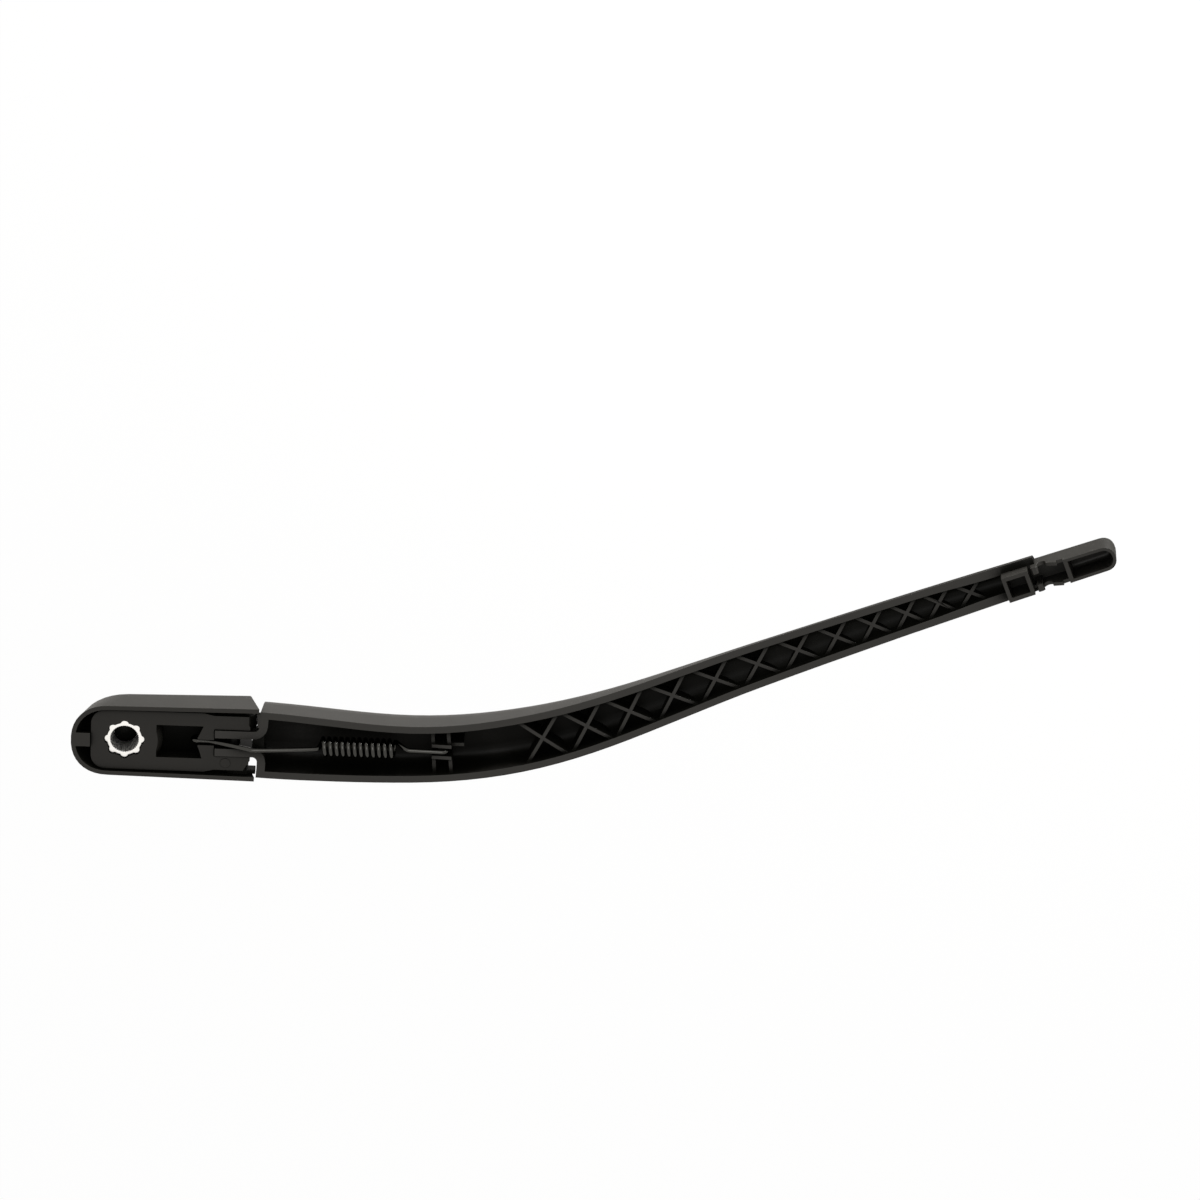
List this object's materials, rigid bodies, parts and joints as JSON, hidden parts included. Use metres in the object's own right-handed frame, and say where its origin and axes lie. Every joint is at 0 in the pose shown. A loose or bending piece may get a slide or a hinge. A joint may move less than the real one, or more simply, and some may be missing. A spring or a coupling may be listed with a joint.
{
  "type": "wiper arm",
  "caption": "Plastic rear wiper arm: bored mounting head with a hinged cover, and a bent ribbed channel arm held down by a coil tension spring, with an open blade seat and hood at its tip.",
  "frame": {"origin": "on the spindle axis, where the bore's taper meets its straight land", "axes": "+Z along the spindle towards the glass; +X from the spindle through the pivot pin towards the tip; +Y to the side that the arm bends to"},
  "size_m": [0.3674, 0.1002, 0.0185],
  "materials": {
    "black_plastic": "fine grain, semi-matt",
    "insert_metal": "bright die-cast",
    "pin_steel": "dark, ground",
    "spring_steel": "oiled spring wire"
  },
  "bodies": {
    "head": {"mounting_head": "black_plastic", "spindle_insert": "insert_metal", "pivot_pin": "pin_steel"},
    "arm": {"arm": "black_plastic", "blade_end": "black_plastic", "tension_spring": "spring_steel"},
    "cover": {"head_cover": "black_plastic"}
  },
  "joints": [
    {"name": "arm_lift", "type": "hinge", "parent": "head", "child": "arm", "pos_m": [0.0387, 0, -0.001], "axis": [0, 1, 0], "range_deg": [0, 45], "stiffness_Nm_per_rad": 0.4, "springref_deg": -171.89, "deforming": ["tension_spring"]},
    {"name": "cover_open", "type": "hinge", "parent": "head", "child": "cover", "pos_m": [0.0387, 0, -0.001], "axis": [0, -1, 0], "range_deg": [0, 50]}
  ]
}
